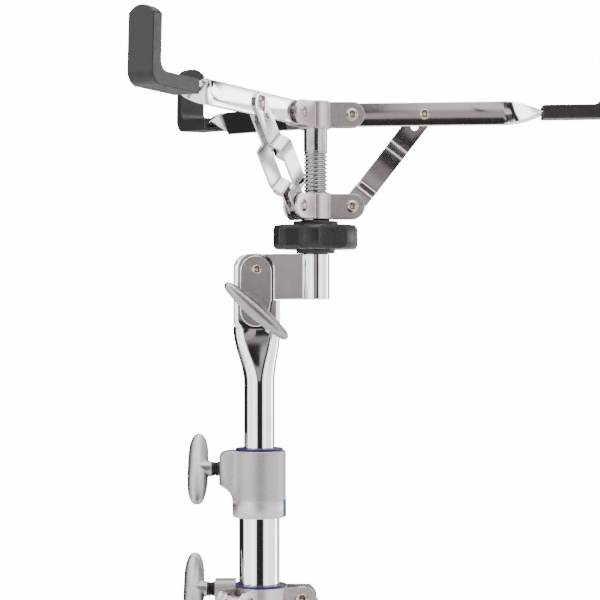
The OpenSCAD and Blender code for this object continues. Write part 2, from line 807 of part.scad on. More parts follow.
// Places a leg's children: the pivot is the origin and the leg runs along -Z
module at_leg(a) {
    on_tube() rotate([0, 0, a]) translate([leg_pivot_r, 0, leg_pivot_z])
        rotate([0, -leg_lean, 0]) children();
}

// Leg: a pair of strips, with the heads of its brace rivet
module leg(a) {
    middle = leg_in + leg_t / 2;
    color("silver") at_leg(a) for (side = [-1, 1]) {
        difference() {
            translate([0, side * middle, -leg_l]) strip(leg_w, leg_l, leg_t);
            pin_y(leg_rivet_d + 2 * RUN, 4 * leg_in);
        }
        translate([0, side * (leg_in + leg_t), -brace_l]) rotate([-90 * side, 0, 0])
            cylinder(d1 = leg_head_d, d2 = leg_head_d * 0.55, h = leg_head_h);
    }
}

// Rubber foot that sleeves the ends of the leg strips
module foot(a) {
    color("dimgray") difference() {
        on_tube() rotate([0, 0, a]) translate([foot_r - foot_l / 2, -foot_w / 2, 0])
            cube([foot_l, foot_w, foot_h]);
        at_leg(a) for (side = [-1, 1])
            translate([0, side * (leg_in + leg_t / 2), -leg_l]) strip(leg_w, leg_l, leg_t);
    }
}

// Brace: a pair of strips between the spider and a leg, joined by a spacer at the leg's end
module brace(a) {
    middle = brace_in + leg_t / 2;
    color("silver") on_tube() rotate([0, 0, a]) translate([leg_pivot_r, 0, spider_pivot_z])
        rotate([0, leg_lean, 0]) {
            difference() {
                for (side = [-1, 1]) translate([0, side * middle, 0])
                    strip(brace_w, brace_l, leg_t);
                pin_y(leg_rivet_d + 2 * RUN, 4 * leg_in);
            }
            translate([0, 0, brace_l]) pin_y(leg_rivet_d + 2, 2 * brace_in);
        }
}

lower_tube();
tube_plug();
base_spider();
spider_rivets();
height_collar();
collar_shim();
height_wing();
height_screw();
swivel_sleeve();
height_tube();
tilt_rivet();
tilt_wing();
tilt_bolt();
tilt_nut();
tilt_bracket();
basket_rod();
top_hub();
top_hub_rivets();
low_hub();
low_hub_rivets();
basket_knob();
arm(0);  // arm_right
arm(120);  // arm_back
arm(240);  // arm_front
grip(0);  // grip_right
grip(120);  // grip_back
grip(240);  // grip_front
strut(0);  // strut_right
strut(120);  // strut_back
strut(240);  // strut_front
crown_casting();
crown_plates();
crown_sleeve();
crown_rivets();
crown_wing();
crown_screw();
leg(0);  // leg_right
leg(120);  // leg_back
leg(240);  // leg_front
foot(0);  // foot_right
foot(120);  // foot_back
foot(240);  // foot_front
brace(0);  // brace_right
brace(120);  // brace_back
brace(240);  // brace_front
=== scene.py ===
import json
from math import atan2, cos, exp, log, pi, radians, sin, sqrt

import bmesh
import bpy
from mathutils import Matrix, Vector


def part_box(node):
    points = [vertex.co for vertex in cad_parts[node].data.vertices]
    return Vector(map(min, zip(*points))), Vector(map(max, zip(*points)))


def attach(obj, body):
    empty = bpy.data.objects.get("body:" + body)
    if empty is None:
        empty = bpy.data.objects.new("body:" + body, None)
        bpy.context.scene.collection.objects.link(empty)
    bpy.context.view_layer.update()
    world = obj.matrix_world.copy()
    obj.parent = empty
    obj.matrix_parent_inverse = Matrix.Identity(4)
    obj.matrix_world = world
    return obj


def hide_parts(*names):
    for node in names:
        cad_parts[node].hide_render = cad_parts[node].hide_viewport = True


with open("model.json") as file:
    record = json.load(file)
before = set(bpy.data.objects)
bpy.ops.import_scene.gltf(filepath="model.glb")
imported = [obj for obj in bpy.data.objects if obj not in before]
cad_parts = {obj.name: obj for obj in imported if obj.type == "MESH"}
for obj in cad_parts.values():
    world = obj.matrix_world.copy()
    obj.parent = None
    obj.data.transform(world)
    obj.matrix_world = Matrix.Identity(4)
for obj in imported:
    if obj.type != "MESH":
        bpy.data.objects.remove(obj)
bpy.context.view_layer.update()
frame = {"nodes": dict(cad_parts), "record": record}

mm = 0.001


def centre(node):
    """The middle of a CAD node's box."""
    low, high = (Vector(corner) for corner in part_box(node))
    return (low + high) / 2


tube = centre("lower_tube")
rod = centre("basket_rod")
pivot = centre("tilt_rivet")

# The camera stands level with the tilter, a little to the right of the tubes, with a long lens.
camera_distance = 1268 * mm
camera_side = 25.3 * mm
camera_height = 430.7 * mm
camera_lens = 122.2
camera_sensor = 36

camera = bpy.data.objects.new("camera", bpy.data.cameras.new("camera"))
camera.data.lens = camera_lens
camera.data.sensor_width = camera_sensor
camera.data.sensor_fit = "HORIZONTAL"
camera.location = (tube.x + camera_side, -camera_distance, camera_height)
camera.rotation_euler = (pi / 2, 0, 0)
bpy.context.collection.objects.link(camera)
bpy.context.scene.camera = camera


class Value:
    """A number that varies over a surface. Arithmetic on it adds Math nodes."""

    def __init__(self, paint, socket):
        self.paint, self.socket = paint, socket

    def math(self, operation, *numbers):
        return self.paint.add("ShaderNodeMath", numbers, operation=operation)

    def __add__(self, other):
        return self.math("ADD", self, other)

    def __sub__(self, other):
        return self.math("SUBTRACT", self, other)

    def __rsub__(self, other):
        return self.math("SUBTRACT", other, self)

    def __mul__(self, other):
        return self.math("MULTIPLY", self, other)

    def __truediv__(self, other):
        return self.math("DIVIDE", self, other)

    def clamped(self):
        return self.math("MINIMUM", self.math("MAXIMUM", self, 0.0), 1.0)

    __radd__ = __add__
    __rmul__ = __mul__


class Paint:
    """The node tree of a material or of the world."""

    def __init__(self, owner):
        owner.use_nodes = True
        self.owner, self.tree = owner, owner.node_tree

    def add(self, kind, inputs=(), output=0, stops=(), **settings):
        """Adds a node, sets it, joins or fills its sockets and gives one of its outputs."""
        node = self.tree.nodes.new(kind)
        for name, setting in settings.items():
            setattr(node, name, setting)
        for number, (position, colour) in enumerate(stops):
            spots = node.color_ramp.elements
            spot = spots[number] if number < 2 else spots.new(position)
            spot.position, spot.color = position, colour
        pairs = inputs.items() if isinstance(inputs, dict) else enumerate(inputs)
        for name, value in pairs:
            self.feed(node.inputs[name], value)
        return Value(self, node.outputs[output])

    def feed(self, socket, value):
        if isinstance(value, Value):
            self.tree.links.new(value.socket, socket)
        else:
            socket.default_value = value

    def colour_mix(self, factor, low, high):
        return self.add("ShaderNodeMix", {0: factor, 6: low, 7: high}, 2, data_type="RGBA")


def grey(level):
    return (level, level, level, 1)


def rising(value, low, high):
    """A mask that goes from 0 to 1 as a value goes from low to high."""
    return ((value - low) / (high - low)).clamped()


def band(value, start, full, fade, end):
    """A mask that is 1 from full to fade, and 0 before start and after end."""
    return rising(value, start, full) * (1 - rising(value, fade, end))


# The studio: a pale floor and a white tent, which is what the bright tubes mirror.
def studio_light():
    """The tent by direction: turn is the azimuth in degrees from the camera, positive to the right,
    and z is the height of the direction. It is dark round the camera, with a grey card in front of
    it, dark again at both sides, grey in two bands above and below the level, bright through a
    window on the right and overhead, and plain white where the camera itself looks at it."""
    paint = Paint(bpy.data.worlds.new("studio"))
    bpy.context.scene.world = paint.owner
    way = paint.add("ShaderNodeSeparateXYZ", [paint.add("ShaderNodeTexCoord")])
    x, y, z = (Value(paint, way.socket.node.outputs[axis]) for axis in range(3))
    turn = x.math("ARCTAN2", x, y * -1.0) * (180 / pi)

    dark, back_grey, side_grey = grey(0.012), grey(0.7), grey(0.8)
    white, bright_white = (0.96, 0.975, 1, 1), (1.5, 1.55, 1.6, 1)
    rose, bright_rose = (0.96, 0.89, 0.92, 1), (1.4, 1.34, 1.36, 1)
    left_edge, left_middle = (1.2, 1.17, 1.19, 1), (1.1, 1.09, 1.1, 1)
    tent = paint.add("ShaderNodeValToRGB", [turn / 360 + 0.5], stops=[
        (0.5 + angle / 360, colour) for angle, colour in (
            (-180, dark), (180, back_grey), (-101, dark), (-95, left_edge), (-55, left_middle),
            (-38, bright_white), (-17, white), (-13, dark), (22, dark), (27, rose),
            (44, bright_rose), (60, rose), (96, rose), (121, white), (125, dark), (138, dark),
            (144, side_grey))])

    off_level = z * z
    off_axis = turn * turn
    bands = band(off_level, 0.045, 0.08, 0.2, 0.3) * (1 - rising(off_axis, 4.0, 100.0) * 0.2) * 0.85
    tent = paint.colour_mix(bands, tent, (0.06, 0.052, 0.05, 1))

    window = band(turn, 99.0, 104.0, 121.0, 123.0) * (1 - rising(off_level, 0.03, 0.05))
    tent = paint.colour_mix(window, tent, (2.6, 2.75, 2.85, 1))

    card = paint.colour_mix(rising(z, 0.14, 0.22), (0.185, 0.163, 0.163, 1), (0.36, 0.32, 0.36, 1))
    right_half = rising(turn, -0.8, 0.0)
    card_height = (1 - rising(z, 0.12, 0.14)) * (1 - right_half) + right_half
    card_place = band(turn, -11.0, -7.0, 8.0, 12.0) * rising(z, -0.022, 0.004) * card_height
    tent = paint.colour_mix(card_place, tent, card)

    gap = band(z, 0.54, 0.6, 0.78, 0.82) * (1 - rising(off_axis, 900.0, 1600.0))
    tent = paint.colour_mix(gap, tent, dark)
    overhead = paint.colour_mix(rising(z, 0.76, 0.84), tent, grey(1.7))
    below = paint.colour_mix(rising(z, -0.2, -0.5), overhead, (0.52, 0.48, 0.49, 1))
    seen_directly = paint.add("ShaderNodeLightPath")
    shown = paint.colour_mix(seen_directly, below, grey(6.0))
    background = paint.tree.nodes["Background"]
    paint.feed(background.inputs["Color"], shown)
    background.inputs["Strength"].default_value = 2.6


studio_light()


def softbox(name, place, target, size, power):
    light = bpy.data.objects.new(name, bpy.data.lights.new(name, "AREA"))
    light.data.shape = "RECTANGLE"
    light.data.size, light.data.size_y = size
    light.data.energy = power
    light.location = place
    aim = Vector(target) - Vector(place)
    light.rotation_euler = aim.to_track_quat("-Z", "Y").to_euler()
    bpy.context.collection.objects.link(light)


softbox("softbox_left", (-1.6, -1.5, 1.3), (0, 0, 0.45), (0.9, 1.4), 9)
softbox("softbox_above", (0.2, -0.2, 2.2), (0, 0, 0.4), (1.6, 1.6), 9)


def mesh_piece(name, vertices, faces, smooth_angle=35):
    """A new object from points and faces, smooth where its faces meet at a shallow angle."""
    mesh = bpy.data.meshes.new(name)
    mesh.from_pydata([tuple(v) for v in vertices], [], faces)
    mesh.validate()
    shape = bmesh.new()
    shape.from_mesh(mesh)
    bmesh.ops.remove_doubles(shape, verts=shape.verts, dist=1e-7)
    bmesh.ops.recalc_face_normals(shape, faces=shape.faces)
    shape.to_mesh(mesh)
    shape.free()
    mesh.shade_smooth()
    mesh.set_sharp_from_angle(angle=radians(smooth_angle))
    piece = bpy.data.objects.new(name, mesh)
    bpy.context.collection.objects.link(piece)
    return piece


floor_size = 1.1
floor_piece = mesh_piece("floor", [
    (-floor_size, -floor_size, 0), (floor_size, -floor_size, 0),
    (floor_size, floor_size, 0), (-floor_size, floor_size, 0)], [(0, 1, 2, 3)])
floor_paint = Paint(bpy.data.materials.new("pale floor"))
floor_shader = floor_paint.tree.nodes["Principled BSDF"]
floor_shader.inputs["Base Color"].default_value = grey(0.86)
floor_shader.inputs["Roughness"].default_value = 0.7
floor_piece.data.materials.append(floor_paint.owner)


def surface(name, colour, metallic, roughness, spread=0.0, spread_scale=300.0, worn=None,
            grain=0.0, grain_scale=2500.0, wave=0.0, wave_scale=45.0, specular=0.5):
    """A finish: colour and roughness that vary in patches, and bumps of two sizes."""
    paint = Paint(bpy.data.materials.new(name))
    shader = paint.tree.nodes["Principled BSDF"]
    shader.inputs["Metallic"].default_value = metallic
    shader.inputs["Specular IOR Level"].default_value = specular
    place = paint.add("ShaderNodeTexCoord", output="Object")

    def noise(scale, detail=3.0):
        return paint.add("ShaderNodeTexNoise", {"Vector": place, "Scale": scale, "Detail": detail})

    patches = noise(spread_scale)
    dark = worn or tuple(0.88 * part for part in colour)
    shade = ((patches - 0.3) * 2.5).clamped()
    paint.feed(shader.inputs["Base Color"], paint.colour_mix(shade, (*dark, 1), (*colour, 1)))
    paint.feed(shader.inputs["Roughness"], (patches - 0.5) * spread + roughness)
    height = None
    if grain:
        height = noise(grain_scale, 2.0) * (grain * mm)
    if wave:
        swell = noise(wave_scale, 1.0) * (wave * mm)
        height = swell + height if height else swell
    if height:
        bump = paint.add("ShaderNodeBump", {"Height": height, "Distance": 1.0, "Strength": 1.0})
        paint.feed(shader.inputs["Normal"], bump)
    return paint.owner


def body_of_node(node):
    return next(body for body, names in frame["record"]["behaviour"]["bodies"].items()
                if node in names)


def slot_of_node(node):
    return next(part["material_slot"] for part in frame["record"]["subparts"]
                if part["node"] == node)


def settle(piece, material, node, replaces=True):
    """Gives a piece its finish and fixes it to the body that the CAD node is on."""
    piece.data.materials.clear()
    piece.data.materials.append(material)
    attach(piece, body_of_node(node))
    slot_of_node(node)
    if replaces:
        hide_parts(node)


def round_edges(piece, width, segments, angle):
    rounding = piece.modifiers.new("rounded edges", "BEVEL")
    rounding.width = width
    rounding.segments = segments
    rounding.limit_method = "ANGLE"
    rounding.angle_limit = radians(angle)
    return rounding


def eased(node, material, edge, segments=2, name=None, shift=None):
    """The CAD node's own form with its sharp edges rounded, as tumbling or pressing leaves them."""
    mesh = frame["nodes"][node].data.copy()
    mesh.materials.clear()
    shape = bmesh.new()
    shape.from_mesh(mesh)
    bmesh.ops.remove_doubles(shape, verts=shape.verts, dist=1e-6)
    bmesh.ops.dissolve_limit(shape, angle_limit=radians(0.5), verts=shape.verts, edges=shape.edges)
    if shift:
        for vertex in shape.verts:
            vertex.co = shift(vertex.co)
    shape.to_mesh(mesh)
    shape.free()
    if mesh.attributes.get("custom_normal"):
        mesh.attributes.remove(mesh.attributes["custom_normal"])
    mesh.shade_smooth()
    mesh.set_sharp_from_angle(angle=radians(35))
    piece = bpy.data.objects.new(name or node + "_eased", mesh)
    bpy.context.collection.objects.link(piece)
    round_edges(piece, edge, segments, 35).harden_normals = True
    settle(piece, material, node)


# Lower tube: 1 inch steel pipe, mirror chrome over a drawn surface, so its reflections waver very
# slightly along the length. A black plastic plug closes its foot.
chrome = surface("mirror chrome", (0.86, 0.86, 0.87), 1, 0.05, 0.04, 160, wave=0.02)
black_plastic = surface("black moulded plastic", (0.014, 0.0115, 0.0115), 0, 0.36, 0.16, 700,
                        grain=0.012, grain_scale=4000, specular=0.3)
eased("lower_tube", chrome, 0.5 * mm)
eased("tube_plug", black_plastic, 0.6 * mm)


def wall_faces(first, levels, count):
    """The faces between rings of count points each, which follow one another from first on."""
    faces = []
    for low in range(first, first + (levels - 1) * count, count):
        for step in range(count):
            after = (step + 1) % count
            faces.append((low + step, low + after, low + count + after, low + count + step))
    return faces


def end_faces(first, levels, count):
    """The faces that close the first and the last of such rings."""
    last = first + (levels - 1) * count
    return [tuple(reversed(range(first, first + count))), tuple(range(last, last + count))]


def lofted(name, rings, closed_ends=True, smooth_angle=35):
    """A skin through rings of points, all with the same number of points."""
    levels, count = len(rings), len(rings[0])
    faces = wall_faces(0, levels, count)
    if closed_ends:
        faces += end_faces(0, levels, count)
    return mesh_piece(name, [point for ring in rings for point in ring], faces, smooth_angle)


def smooth_step(share):
    share = min(max(share, 0.0), 1.0)
    return share * share * (3 - 2 * share)


# Collars and crown: aluminium castings with a fine sand-blasted skin that sparkles softly. The
# height collar has a turned, slightly brighter band round its foot.
cast_aluminium = surface("blasted aluminium", (0.37, 0.335, 0.335), 1, 0.48, 0.14, 900,
                         worn=(0.3, 0.275, 0.275), grain=0.03, grain_scale=1800)
turned_aluminium = surface("turned aluminium", (0.52, 0.485, 0.485), 1, 0.42, 0.08, 1200,
                           grain=0.006, grain_scale=3000)
for casting in ("crown_casting", "base_spider"):
    eased(casting, cast_aluminium, 0.7 * mm, 3)

collar_low = Vector(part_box("height_collar")[0])
collar_high = Vector(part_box("height_collar")[1])
collar_r = collar_high.x - tube.x
collar_face = tube.x - collar_low.x
collar_foot = collar_low.z + 1.5 * mm
collar_bore_r = 12.75 * mm
collar_mouth_r = 13.6 * mm
collar_ledge = collar_foot + 18 * mm
band_top = collar_foot + 11.2 * mm
band_out = 0.18 * mm
boss_half = 9.3 * mm
boss_low = collar_high.z - 21.3 * mm
boss_blend = 1.4 * mm
boss_corner = 5
sweep_h = 11.4 * mm
shoulder_h = 3.8 * mm
shoulder_w = 6.5 * mm


def boss_reach(z):
    """How far the boss stands out from the tube's axis: a concave sweep, then a round shoulder."""
    if z < boss_low:
        share = min((boss_low - z) / sweep_h, 1)
        return collar_r + (collar_face - collar_r) * (1 - share) ** 2.6 - 3 * mm * share ** 3
    share = max(z - (collar_high.z - shoulder_h), 0) / shoulder_h
    return collar_face - shoulder_w * (1 - sqrt(max(1 - share ** 2, 0)))


def collar_ring(radius, reach, z, steps=160):
    """A circle with the boss melted into it on the left."""
    points = []
    for step in range(steps):
        angle = 2 * pi * step / steps
        r = radius
        if cos(angle) < 0:
            boss = ((abs(cos(angle)) / reach) ** boss_corner
                    + (abs(sin(angle)) / boss_half) ** boss_corner) ** (-1 / boss_corner)
            r += boss_blend * log(1 + exp((boss - radius) / boss_blend))
        points.append((tube.x + r * cos(angle), tube.y + r * sin(angle), z))
    return points


def collar_skin():
    """The casting from its bore round the foot, the band, the boss and the mouth."""
    no_boss, inside = collar_r - 5 * mm, 5 * mm
    foot, top = collar_foot, collar_high.z
    rings = [collar_ring(radius, reach, z) for radius, reach, z in (
        (collar_bore_r, inside, foot), (collar_r - 1.2 * mm, no_boss, foot),
        (collar_r - 0.3 * mm, no_boss, foot + 0.3 * mm),
        (collar_r + band_out, no_boss, foot + 1.1 * mm),
        (collar_r + band_out, no_boss, band_top - 0.25 * mm), (collar_r, no_boss, band_top))]
    shoulder_z = top - shoulder_h
    levels = [boss_low - sweep_h + sweep_h * sin(pi / 2 * step / 24) for step in range(25)]
    levels += [boss_low + (shoulder_z - boss_low) * step / 3 for step in range(1, 4)]
    levels += [shoulder_z + shoulder_h * sin(pi / 2 * step / 10) for step in range(1, 10)]
    rim = 0.8 * mm
    for z in levels:
        near_rim = max(z - (top - rim), 0) / rim
        rings.append(collar_ring(collar_r - 0.6 * mm * near_rim ** 2, boss_reach(z), z))
    rings += [collar_ring(radius, reach, z) for radius, reach, z in (
        (collar_r - rim, boss_reach(top) - 0.6 * mm, top), (collar_mouth_r, inside, top),
        (collar_mouth_r, inside, collar_ledge), (collar_bore_r, inside, collar_ledge))]
    rings.append(rings[0])
    piece = lofted("height_collar_skin", rings, closed_ends=False, smooth_angle=40)
    settle(piece, cast_aluminium, "height_collar")
    piece.data.materials.append(turned_aluminium)
    for face in piece.data.polygons:
        if face.center.z < band_top - 0.2 * mm:
            face.material_index = 1


collar_skin()


# Bushes: deep blue nylon rings and strips in the mouths of the collars, satin from the mould.
blue_nylon = surface("blue nylon", (0.011, 0.011, 0.075), 0, 0.38, 0.15, 500,
                     grain=0.01, grain_scale=2500, specular=0.3)
strip_t = 0.8 * mm
strip_proud = 0.06 * mm
for bush in ("swivel_sleeve", "crown_sleeve"):
    eased(bush, blue_nylon, 0.35 * mm)


def collar_strip(name, start, end, replaces):
    """The sleeve's strip that shows in a slot of the collar's foot, between two angles."""
    low, high = (corner[2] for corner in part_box("collar_shim"))
    outer = collar_r + band_out + strip_proud
    rings = []
    for step in range(9):
        angle = radians(start + (end - start) * step / 8)
        rings.append([(tube.x + r * cos(angle), tube.y + r * sin(angle), z) for r, z in (
            (outer - strip_t, low), (outer, low), (outer, high), (outer - strip_t, high))])
    settle(lofted(name, rings), blue_nylon, "collar_shim", replaces)


collar_strip("collar_strip_back", 10.7, 20.9, True)
collar_strip("collar_strip_front", -26, -2, False)


# Height tube: 3/4 inch chromed pipe whose top is split, opened out and pressed into two cheeks.
# A thicker ear lies on each cheek, and a hollow runs from below the clamp down into the tube.
post_low, post_high = (Vector(corner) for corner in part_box("height_tube"))
cheek_w = post_high.x - post_low.x
head_shift = tube.x - pivot.x
cheek_reach = 11.1 * mm
notch_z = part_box("tilt_bracket")[0][2] - 0.3 * mm
tube_d = 2 * 9.55 * mm
cheek_depth = 14.6 * mm
cheek_slot = 9.2 * mm
flare_h = 33 * mm
cheek_z = pivot.z - 37.2 * mm
flare_z = cheek_z - flare_h
head_top = post_high.z
head_corner = 9.5 * mm
cheek_edge = 3.5 * mm
scoop_depth = 3.6 * mm
scoop_half_w = 9.5 * mm
scoop_up = 8 * mm


def rounded_outline(width, depth, corner, steps):
    """Points round a rectangle with round corners, from its +X side, anticlockwise."""
    corner = min(corner, width / 2 - 1e-6, depth / 2 - 1e-6)
    points = []
    for number, (sx, sy) in enumerate(((1, 1), (-1, 1), (-1, -1), (1, -1))):
        for step in range(steps + 1):
            angle = pi / 2 * (number + step / steps)
            points.append((sx * (width / 2 - corner) + corner * cos(angle),
                           sy * (depth / 2 - corner) + corner * sin(angle)))
    return points


def scoop(x, z):
    """Depth of the hollow in the front and back of the flare."""
    top, bottom = cheek_z + scoop_up, flare_z + scoop_up
    if not bottom < z < top:
        return 0.0
    share = (z - bottom) / (top - bottom)
    across = abs(x) / max(scoop_half_w * share ** 0.8, 1e-6)
    return (scoop_depth * smooth_step(1.15 - across)
            * smooth_step(min(share * 2.5, (1 - share) * 5)))


def post_ring(z):
    """The outline of the tube at a height: round below, wide and flat at the cheeks, and cut back
    on the right beside the bracket."""
    share = smooth_step((z - flare_z) / flare_h)
    left = (tube_d + (cheek_w - tube_d) * share) / 2
    right = cheek_reach if z > notch_z else left
    depth = tube_d + (cheek_depth - tube_d) * share
    corner = depth / 2 - (depth / 2 - cheek_edge) * smooth_step((z - cheek_z) / (6 * mm))
    above = max(z - (head_top - head_corner), 0)
    fall = 2 * (head_corner - sqrt(max(head_corner ** 2 - above ** 2, 0)))
    points = []
    for x, y in rounded_outline(left + right - fall, depth, corner, 24):
        along = x + (right - left) / 2
        inward = scoop(along, z) if y > 0 else -scoop(along, z)
        points.append((tube.x - head_shift * share + along, y - inward, z))
    return points


heights = [post_low.z + (flare_z - post_low.z) * step / 6 for step in range(6)]
heights += [flare_z + (cheek_z + scoop_up - flare_z) * step / 80 for step in range(81)]
heights += [notch_z - 0.01 * mm, notch_z + 0.01 * mm, head_top - head_corner]
heights += [head_top - head_corner + head_corner * sin(pi / 2 * step / 14) for step in range(1, 14)]
heights.append(head_top)


def cut_away(piece, low, high):
    """Cuts a box out of a piece."""
    corners = [(x, y, z) for x in (low[0], high[0]) for y in (low[1], high[1])
               for z in (low[2], high[2])]
    cutter = mesh_piece("cutter", corners, [(0, 1, 3, 2), (4, 6, 7, 5), (0, 4, 5, 1),
                                            (2, 3, 7, 6), (0, 2, 6, 4), (1, 5, 7, 3)])
    cut = piece.modifiers.new("slot", "BOOLEAN")
    cut.operation = "DIFFERENCE"
    cut.solver = "EXACT"
    cut.object = cutter
    bpy.context.view_layer.update()
    done = bpy.data.meshes.new_from_object(
        piece.evaluated_get(bpy.context.evaluated_depsgraph_get()))
    piece.modifiers.clear()
    piece.data = done
    bpy.data.objects.remove(cutter)


post = lofted("height_tube_yoke", [post_ring(z) for z in heights])
cut_away(post, (tube.x - cheek_w, -cheek_slot / 2, cheek_z + 2 * mm),
         (tube.x + cheek_w, cheek_slot / 2, head_top + 10 * mm))
round_edges(post, 0.5 * mm, 2, 50)
settle(post, chrome, "height_tube")


def plate_rounded(name, outline, y_low, y_high, edge, steps):
    """A flat plate in the XZ plane, its outline a list of (x, z), with both rims rounded."""
    middle_x = sum(x for x, _ in outline) / len(outline)
    middle_z = sum(z for _, z in outline) / len(outline)
    count = len(outline)

    def inset(distance):
        moved = []
        for number, (x, z) in enumerate(outline):
            before, after = outline[number - 1], outline[(number + 1) % count]
            along = Vector((after[0] - before[0], after[1] - before[1])).normalized()
            normal = Vector((along.y, -along.x))
            if normal.dot(Vector((x - middle_x, z - middle_z))) < 0:
                normal = -normal
            moved.append((x - normal.x * distance, z - normal.y * distance))
        return moved

    rings = []
    for side, y_face in ((1, y_low), (-1, y_high)):
        bend = []
        for step in range(steps + 1):
            angle = pi / 2 * step / steps
            y = y_face + side * edge * (1 - sin(angle))
            bend.append([(x, y, z) for x, z in inset(edge * (1 - cos(angle)))])
        bend.append([(x, y_face, z) for x, z in inset(edge + 0.2 * mm)])
        rings += list(reversed(bend)) if side == 1 else bend
    return lofted(name, rings, smooth_angle=50)


def arc(cx, cz, radius, start, end, steps):
    """Points on an arc, with angles in degrees."""
    return [(cx + radius * cos(radians(start + (end - start) * step / steps)),
             cz + radius * sin(radians(start + (end - start) * step / steps)))
            for step in range(steps + 1)]


ear_r = 9.8 * mm
ear_x = pivot.x - 0.5 * mm
ear_top = head_top - 1.2 * mm
ear_out = 0.9 * mm
ear_in = 0.6 * mm
toe_r = 3 * mm
toe_z = cheek_z + 19 * mm
shadow_out = 0.12 * mm
shadow_shift = 0.45 * mm
shadow_wider = 1.06
shadow_taller = 1.012
bolt_z = centre("tilt_bolt").z
ear_finish = surface("polished cheek", (0.82, 0.8, 0.81), 1, 0.17, 0.06, 300, grain=0.003)
# Near-black matte finish for the thin plates under the ears. It is a painted shadow line for the
# shaded gap between each ear and its cheek.
painted_shadow_line = surface("painted shadow line round the ear", (0.02, 0.018, 0.018), 0, 0.5, 0.2, 500, specular=0.3)


def cheek_plate(name, outline, side, out, edge, steps, material):
    """A plate on the front (-1) or back (1) cheek that stands out from it."""
    near, far = sorted((side * (cheek_depth / 2 - ear_in), side * (cheek_depth / 2 + out)))
    settle(plate_rounded(name, outline, near, far, edge, steps), material, "height_tube",
           replaces=False)


ear_outline = (arc(ear_x, ear_top - ear_r, ear_r, 0, 180, 24)
               + arc(ear_x, bolt_z, ear_r, 180, 320, 20)
               + arc(ear_x + ear_r - toe_r, toe_z, toe_r, -40, 0, 4))
shadow_outline = [(ear_x + (x - ear_x) * shadow_wider + shadow_shift,
                   bolt_z + (z - bolt_z) * shadow_taller) for x, z in ear_outline]
# Each ear sits on a slightly larger dark plate, shifted to the right. Its rim shows as a painted
# shadow line round the ear.
for side, label in ((-1, "front"), (1, "back")):
    cheek_plate("cheek_shadow_" + label, shadow_outline, side, shadow_out, 0.1 * mm, 1, painted_shadow_line)
    cheek_plate("cheek_ear_" + label, ear_outline, side, ear_out, 0.5 * mm, 3, ear_finish)


# Tilt bracket: a forged chrome arm with a bored socket at its end, polished flat on its faces.
eased("tilt_bracket", chrome, 0.6 * mm, 3)


# Basket rod: chromed steel bar, plain at both ends and threaded in the middle for the knob. Oil and
# wear leave it a little duller than the tubes.
rod_steel = surface("oiled rod", (0.38, 0.37, 0.365), 1, 0.18, 0.08, 600, worn=(0.3, 0.29, 0.285))
thread_pitch = 2.5 * mm
thread_depth = 1.0 * mm
rod_low, rod_high = (Vector(corner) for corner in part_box("basket_rod"))
rod_r = (rod_high.x - rod_low.x) / 2
thread_low = pivot.z + 11.5 * mm
thread_high = Vector(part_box("top_hub")[0]).z - 13.5 * mm


def threaded(name, place, axis, radius, depth, pitch, start, end, lead, material, node,
             replaces=True, steps=40):
    """A rod from start to end along an axis, with a helical thread from lead[0] to lead[1]."""
    turn = Vector((0, 0, 1)).rotation_difference(Vector(axis)).to_matrix()
    heights = [start]
    height = lead[0]
    while height < lead[1]:
        heights.append(height)
        height += pitch / 8
    heights.append(end)
    rings = []
    for height in heights:
        points = []
        for step in range(steps):
            angle = 2 * pi * step / steps
            phase = (height / pitch - step / steps) % 1
            cut = min(max(2.2 * abs(2 * phase - 1) - 0.6, 0), 1)
            fade = smooth_step((height - lead[0]) / pitch) * smooth_step((lead[1] - height) / pitch)
            r = radius - depth * (1 - cut) * fade
            points.append(Vector(place) + turn @ Vector((r * cos(angle), r * sin(angle), height)))
        rings.append(points)
    settle(lofted(name, rings, smooth_angle=60), material, node, replaces)


threaded("basket_rod_thread", (rod.x, rod.y, 0), (0, 0, 1), rod_r - 0.02 * mm, thread_depth,
         thread_pitch, rod_low.z, rod_high.z, (thread_low, thread_high), rod_steel, "basket_rod",
         steps=56)


# Hubs and crown plates: pressed steel, three bent plates round a bush, satin nickel-chrome with a
# faint rose cast. Their cut edges are rounded by tumbling.
pressed_sheet = surface("satin plated sheet", (0.5, 0.455, 0.455), 1, 0.34, 0.1, 500,
                        worn=(0.46, 0.42, 0.42), grain=0.005, grain_scale=2600, wave=0.03,
                        wave_scale=70)
for sheet_node in ("top_hub", "low_hub", "crown_plates"):
    eased(sheet_node, pressed_sheet, 0.45 * mm, 2)


# Arms: polished steel strips on edge, pinned in the top hub. Each twists through a quarter turn
# near its end and runs flat into its rubber grip.
strip_steel = surface("polished strip", (0.84, 0.8, 0.8), 1, 0.09, 0.06, 400,
                      worn=(0.79, 0.75, 0.75), grain=0.003, grain_scale=2400, wave=0.03,
                      wave_scale=50)
azimuths = {"right": 0, "back": 120, "front": 240}
arm_pivot_r = 22.7 * mm
arm_h = 14.8 * mm
arm_t = 3.2 * mm
arm_lifts = {"right": radians(0.6), "back": radians(2.4), "front": radians(2.4)}
basket_turn = radians(-1.5)
twist_start = 116.5 * mm - arm_pivot_r
twist_l = 27 * mm
tongue_w = 12 * mm
grip_start = twist_start + twist_l
grip_reach = 3 * mm
grip_out = 186.2 * mm - arm_pivot_r
grip_t = 8.5 * mm
hub_z = centre("top_hub_rivets").z


def arm_frame(side):
    """The arm's own axes: its pivot is the origin and it runs along +X."""
    return (Matrix.Translation((rod.x, rod.y, hub_z))
            @ Matrix.Rotation(radians(azimuths[side]) + basket_turn, 4, "Z")
            @ Matrix.Translation((arm_pivot_r, 0, 0))
            @ Matrix.Rotation(-arm_lifts[side], 4, "Y"))


